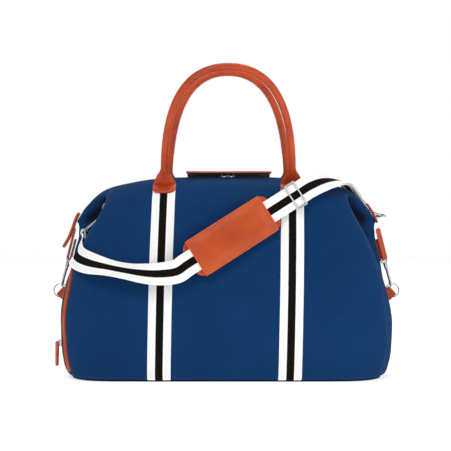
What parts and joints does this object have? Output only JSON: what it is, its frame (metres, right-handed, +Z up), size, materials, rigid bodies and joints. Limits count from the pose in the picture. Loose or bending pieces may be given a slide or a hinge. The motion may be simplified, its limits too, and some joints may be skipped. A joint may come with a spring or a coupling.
{
  "type": "weekender bag",
  "caption": "Canvas holdall with folded top corners, striped webbing bands, rolled leather handles, a padded shoulder strap, a top zip under a leather flap and a zipped shoe compartment.",
  "frame": {"origin": "middle of the bag's flat base, on the surface that it stands on", "axes": "+X along the bag's length, +Y from the front to the back, +Z up"},
  "size_m": [0.608, 0.296, 0.54],
  "materials": {
    "canvas": "woven",
    "base_canvas": "woven",
    "lining": "woven",
    "board": "matte",
    "webbing": "woven",
    "leather": "smooth",
    "zip_tape": "woven",
    "steel": "polished"
  },
  "bodies": {
    "root": {"front_panel": "canvas", "back_panel": "canvas", "left_end_panel": "canvas", "right_end_panel": "canvas", "bottom_panel": "base_canvas", "lining": "lining", "base_board": "board", "front_left_band": "webbing", "front_right_band": "webbing", "back_left_band": "webbing", "back_right_band": "webbing", "front_left_patch": "leather", "front_right_patch": "leather", "back_left_patch": "leather", "back_right_patch": "leather", "top_zip_tape": "zip_tape", "top_zip_teeth": "zip_tape", "left_zip_end": "leather", "right_zip_end": "leather", "left_ear_tab": "leather", "right_ear_tab": "leather", "left_ear_eye": "steel", "right_ear_eye": "steel", "left_side_tab": "leather", "right_side_tab": "leather", "left_d_ring": "steel", "right_d_ring": "steel", "left_chape": "webbing", "right_chape": "webbing", "left_strap_eye": "steel", "right_strap_eye": "steel", "shoulder_strap": "webbing", "strap_return": "webbing", "side_zip_binding": "leather", "side_zip_tape": "zip_tape"},
    "front_handle": {"front_handle": "leather"},
    "back_handle": {"back_handle": "leather"},
    "top_flap": {"flap_leather": "leather", "flap_lining": "zip_tape"},
    "left_slider": {"left_slider": "steel"},
    "right_slider": {"right_slider": "steel"},
    "left_pull": {"left_pull": "steel"},
    "right_pull": {"right_pull": "steel"},
    "left_ear_hook": {"left_ear_hook": "steel"},
    "right_ear_hook": {"right_ear_hook": "steel"},
    "left_ear_gate": {"left_ear_gate": "steel"},
    "right_ear_gate": {"right_ear_gate": "steel"},
    "left_side_ring": {"left_side_ring": "steel"},
    "right_side_ring": {"right_side_ring": "steel"},
    "left_strap_hook": {"left_strap_hook": "steel"},
    "right_strap_hook": {"right_strap_hook": "steel"},
    "left_strap_gate": {"left_strap_gate": "steel"},
    "right_strap_gate": {"right_strap_gate": "steel"},
    "strap_adjuster": {"strap_adjuster": "steel"},
    "strap_pad": {"strap_pad": "leather", "strap_pad_base": "leather"},
    "side_slider": {"side_slider": "steel"},
    "side_pull": {"side_pull": "leather"}
  },
  "joints": [
    {"name": "front_handle_tilt", "type": "hinge", "parent": "root", "child": "front_handle", "pos_m": [0.003, -0.06, 0.33], "axis": [1, 0, 0], "range_deg": [-45, 50]},
    {"name": "back_handle_tilt", "type": "hinge", "parent": "root", "child": "back_handle", "pos_m": [0.003, 0.06, 0.33], "axis": [-1, 0, 0], "range_deg": [-12, 85]},
    {"name": "flap_lift", "type": "hinge", "parent": "root", "child": "top_flap", "pos_m": [0.004, 0.05, 0.3375], "axis": [-1, 0, 0], "range_deg": [0, 120]},
    {"name": "left_slider_travel", "type": "slide", "parent": "root", "child": "left_slider", "axis": [-1, 0, -0.008], "range_m": [0, 0.1]},
    {"name": "right_slider_travel", "type": "slide", "parent": "root", "child": "right_slider", "axis": [1, 0, -0.008], "range_m": [0, 0.1]},
    {"name": "left_pull_swing", "type": "hinge", "parent": "left_slider", "child": "left_pull", "pos_m": [-0.0036, 0, 0.3451], "axis": [-1, 0, 0], "range_deg": [0, 5]},
    {"name": "right_pull_swing", "type": "hinge", "parent": "right_slider", "child": "right_pull", "pos_m": [0.0084, 0, 0.3451], "axis": [-1, 0, 0], "range_deg": [0, 5]},
    {"name": "left_ear_swivel", "type": "hinge", "parent": "root", "child": "left_ear_hook", "pos_m": [-0.276, 0, 0.197], "axis": [-0.2587, 0, -0.9659], "range_deg": [-12, 12]},
    {"name": "left_ear_gate_press", "type": "hinge", "parent": "left_ear_hook", "child": "left_ear_gate", "pos_m": [-0.28154, 0.0042, 0.17633], "axis": [-0.9659, 0, 0.2587], "range_deg": [0, 15], "stiffness_Nm_per_rad": 0.02},
    {"name": "left_ring_turn", "type": "hinge", "parent": "root", "child": "left_side_ring", "pos_m": [-0.291, 0, 0.141], "axis": [0, 1, 0], "continuous": true},
    {"name": "right_ear_swivel", "type": "hinge", "parent": "root", "child": "right_ear_hook", "pos_m": [0.276, 0, 0.197], "axis": [0.2587, 0, -0.9659], "range_deg": [-12, 12]},
    {"name": "right_ear_gate_press", "type": "hinge", "parent": "right_ear_hook", "child": "right_ear_gate", "pos_m": [0.28154, 0.0042, 0.17633], "axis": [-0.9659, 0, -0.2587], "range_deg": [0, 15], "stiffness_Nm_per_rad": 0.02},
    {"name": "right_ring_turn", "type": "hinge", "parent": "root", "child": "right_side_ring", "pos_m": [0.291, 0, 0.141], "axis": [0, 1, 0], "continuous": true},
    {"name": "left_strap_swivel", "type": "hinge", "parent": "root", "child": "left_strap_hook", "pos_m": [-0.2412, -0.047, 0.245], "axis": [0.7413, 0, 0.6712], "range_deg": [-12, 12]},
    {"name": "left_strap_gate_press", "type": "hinge", "parent": "left_strap_hook", "child": "left_strap_gate", "pos_m": [-0.22534, -0.0428, 0.25936], "axis": [0.6712, 0, -0.7413], "range_deg": [0, 15], "stiffness_Nm_per_rad": 0.02},
    {"name": "right_strap_swivel", "type": "hinge", "parent": "root", "child": "right_strap_hook", "pos_m": [0.282, 0.042, 0.272], "axis": [-0.9854, 0, -0.1701], "range_deg": [-12, 12]},
    {"name": "right_strap_gate_press", "type": "hinge", "parent": "right_strap_hook", "child": "right_strap_gate", "pos_m": [0.26091, 0.0462, 0.26836], "axis": [-0.1701, 0, 0.9854], "range_deg": [0, 15], "stiffness_Nm_per_rad": 0.02},
    {"name": "adjuster_travel", "type": "slide", "parent": "root", "child": "strap_adjuster", "axis": [0.8341, 0.1484, 0.5313], "range_m": [-0.02, 0]},
    {"name": "pad_travel", "type": "slide", "parent": "root", "child": "strap_pad", "axis": [0.8341, 0.1484, 0.5313], "range_m": [-0.004, 0.01]},
    {"name": "side_slider_travel", "type": "slide", "parent": "root", "child": "side_slider", "axis": [-0.0299, 0.0748, 0.9968], "range_m": [0, 0.055]},
    {"name": "side_pull_swing", "type": "hinge", "parent": "side_slider", "child": "side_pull", "pos_m": [-0.2789, -0.09258, 0.062], "axis": [-0.5446, 0.8387, 0], "range_deg": [0, 90]}
  ]
}
